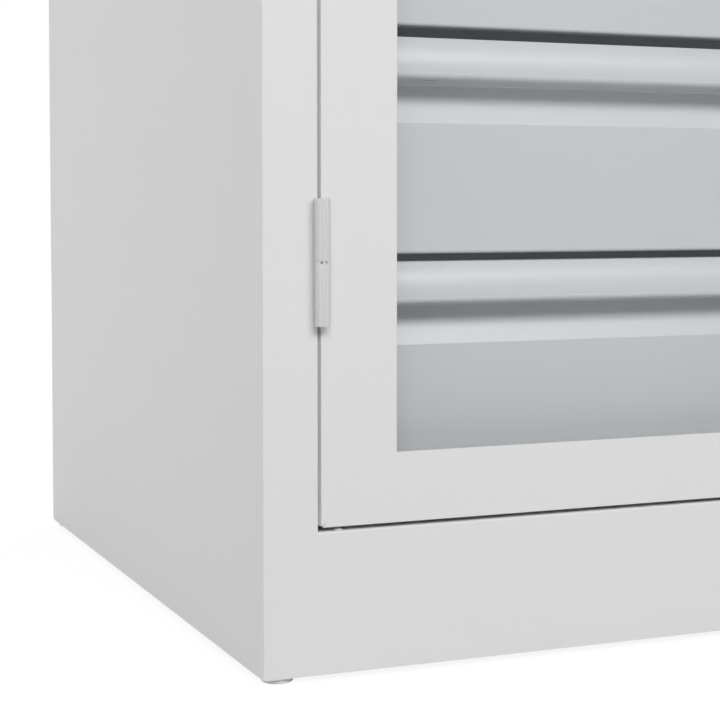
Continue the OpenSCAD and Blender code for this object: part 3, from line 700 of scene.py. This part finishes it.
def rotaryLock(size):
    # handle bar that thins towards its ends, with a bore for the cylinder, on a flared neck over a
    # flat rosette
    low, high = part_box("lock_cylinder")
    place = ((low.x + high.x) / 2, front, (low.z + high.z) / 2)

    def rosette(inset):
        return stadium(size["rosetteWidth"], size["rosetteLength"], inset)

    def bar(inset):
        return stadium(size["width"], size["length"], inset)

    def bowed(height, radius):  # the depth behind the face shrinks with the square of the way to the ends
        away = radius * np.sin(angles) / (size["length"] / 2)
        return height * (1 - size["bow"] / size["thick"] * away ** 2) - size["reach"], radius

    plate = roundedEnd(-size["rosetteThick"], 1, rosette, size["rosetteEdge"]) + [(0, rosette(0))]
    putPiece("lockRosette", [ringShape(plate, place, 1)], "lock_rosette")

    bore = size["cylinder"] + size["cylinderClear"]
    rings = [(size["boreDepth"], bore), (0, bore)]
    rings += roundedBody(0, size["thick"], bar, size["edge"], size["steps"])
    rings += [(size["thick"], bar(size["edge"]) * share) for share in size["backRings"]]
    neckFrom = size["thick"] - size["neckIn"] - size["reach"]
    neckTo = -size["rosetteThick"] - size["gap"]
    turn = np.linspace(0, np.pi / 2, size["steps"])
    flare = size["neck"] + (size["neckFoot"] - size["neck"]) * (1 - np.cos(turn))
    neck = list(zip(neckFrom + (neckTo - neckFrom) * np.sin(turn), flare))
    handle = [ringShape([bowed(*ring) for ring in rings], place, 1), ringShape(neck, place, 1)]
    putPiece("lockHandle", handle, "lock_handle")

    face, rear, edge = -size["reach"], size["cylinderDepth"] - size["reach"], size["cylinderEdge"]
    key = slotEdge(size["keyWidth"], size["keyLength"])
    rim = [
        (rear, size["cylinder"]), (face + edge, size["cylinder"]), (face, size["cylinder"] - edge),
        (face, key), (face + size["keyDepth"], key),
    ]
    putPiece("lockCylinder", [ringShape(rim, place, 1)], "lock_cylinder")


rotaryLock(lock)
print("lock made")

plug = {
    "radius": 3 * mm, "neck": 2 * mm, "dome": 1.2 * mm, "domeTurn": 0.98, "steps": 7, "sheet": 1.5 * mm,
}


def plinthPlugs(size):
    # low domes that close the holes in the plinth's top flange
    low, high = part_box("plinth_plugs")
    place = (low.x + size["radius"], (low.y + high.y) / 2, plinthHigh.z)
    turn = np.linspace(0, size["domeTurn"] * np.pi / 2, size["steps"])
    dome = [(size["dome"] * np.sin(t), size["radius"] * np.cos(t)) for t in turn]
    shape = ringShape([(-size["sheet"], size["neck"]), (0, size["neck"])] + dome, place, 2)
    putPiece("plinthPlugs", [shape, mirrored(shape)], "plinth_plugs")


plinthPlugs(plug)
print("small fittings made")

stageLook = {
    "side": 24, "colour": (0.6, 0.6, 0.6, 1), "near": (0.9, 0.9, 0.9, 1), "far": (1.0, 1.0, 1.0, 1),
    "reach": 1.6, "fadeFrom": 0.5, "fadeSoft": 0.3, "shadowColour": (0.14, 0.14, 0.14, 1),
}
lights = {
    "sky": 0.17,
    "lamps": {
        "key": {"place": (-0.5, -5.6, 4.1), "aim": (-0.1, 0, 0.45), "size": (7.0, 2.1), "power": 340},
        "sheen": {"place": (3.9, -5.6, 4.8), "aim": (-0.2, -0.2, 0.4), "size": (2.6, 2.0), "power": 30},
        "side": {"place": (-4.6, 0.9, 1.95), "aim": (-0.5, 0, 0.45), "size": (3.4, 2.6), "power": 78},
        "rear": {"place": (3.6, 3.8, 2.6), "aim": (0.3, 0.2, 0.5), "size": (3.4, 2.6), "power": 260},
    },
}


def seenRays(finish):  # 1 where the camera sees the stage, straight or in a gloss or through a clear sheet
    kinds = ("Is Camera Ray", "Is Glossy Ray", "Is Transmission Ray")
    rays = [finish.node("ShaderNodeLightPath", out=kind) for kind in kinds]
    return finish.node("ShaderNodeMath", {"operation": "MINIMUM"}, {0: rays[0] + rays[1] + rays[2], 1: 1.0})


def addFloor(size):
    # pale floor: what is seen of it glows near white, keeps a faint shadow and fades to white away from
    # the cabinet
    half = size["side"] / 2
    mesh = bpy.data.meshes.new("floor")
    corners = [(-half, -half, 0), (half, -half, 0), (half, half, 0), (-half, half, 0)]
    mesh.from_pydata(corners, [], [(0, 1, 2, 3)])
    floor = bpy.data.objects.new("floor", mesh)
    bpy.context.collection.objects.link(floor)
    finish = Finish("floorPaint")
    place = finish.node("ShaderNodeTexCoord", out="Object")
    away = finish.node("ShaderNodeVectorMath", {"operation": "LENGTH"}, {0: place}, "Value")
    past = away * (1 / size["reach"]) - size["fadeFrom"]
    fade = {0: past, 1: 1.0, 2: size["fadeSoft"]}
    spread = finish.node("ShaderNodeMath", {"operation": "SMOOTH_MIN"}, fade)
    paleness = finish.between(spread, size["near"], size["far"])
    glow = finish.node("ShaderNodeEmission", {}, {"Color": paleness})
    shade = finish.node("ShaderNodeBsdfDiffuse", {}, {"Color": size["shadowColour"]})
    white = finish.node("ShaderNodeAddShader", {}, {0: glow, 1: shade})
    plain = finish.node("ShaderNodeBsdfDiffuse", {}, {"Color": size["colour"]})
    mixed = finish.node("ShaderNodeMixShader", {}, {0: seenRays(finish), 1: plain, 2: white})
    finish.node("ShaderNodeOutputMaterial", {}, {"Surface": mixed})
    mesh.materials.append(finish.owner)


def addLights(setup):
    # large soft lamps far away: a wide one in front, a small one at its right, one at the left and one
    # behind, in a dim sky
    world = bpy.data.worlds.new("studio")
    bpy.context.scene.world = world
    finish = Finish("studio", world)
    strength = setup["sky"] + (1 - setup["sky"]) * seenRays(finish)
    sky = finish.node("ShaderNodeBackground", {}, {"Color": (1, 1, 1, 1), "Strength": strength})
    finish.node("ShaderNodeOutputWorld", {}, {"Surface": sky})
    for name, made in setup["lamps"].items():
        data = bpy.data.lights.new(name, "AREA")
        data.shape = "RECTANGLE"
        data.size, data.size_y = made["size"]
        data.energy = made["power"]
        lamp = bpy.data.objects.new(name, data)
        bpy.context.collection.objects.link(lamp)
        lamp.location = made["place"]
        lamp.visible_camera = False
        towards = lamp.location.copy()
        towards[:] = np.subtract(made["aim"], made["place"])
        lamp.rotation_euler = towards.to_track_quat("-Z", "Y").to_euler()


addFloor(stageLook)
addLights(lights)
bpy.context.scene.view_settings.view_transform = "Standard"
print("stage lit")
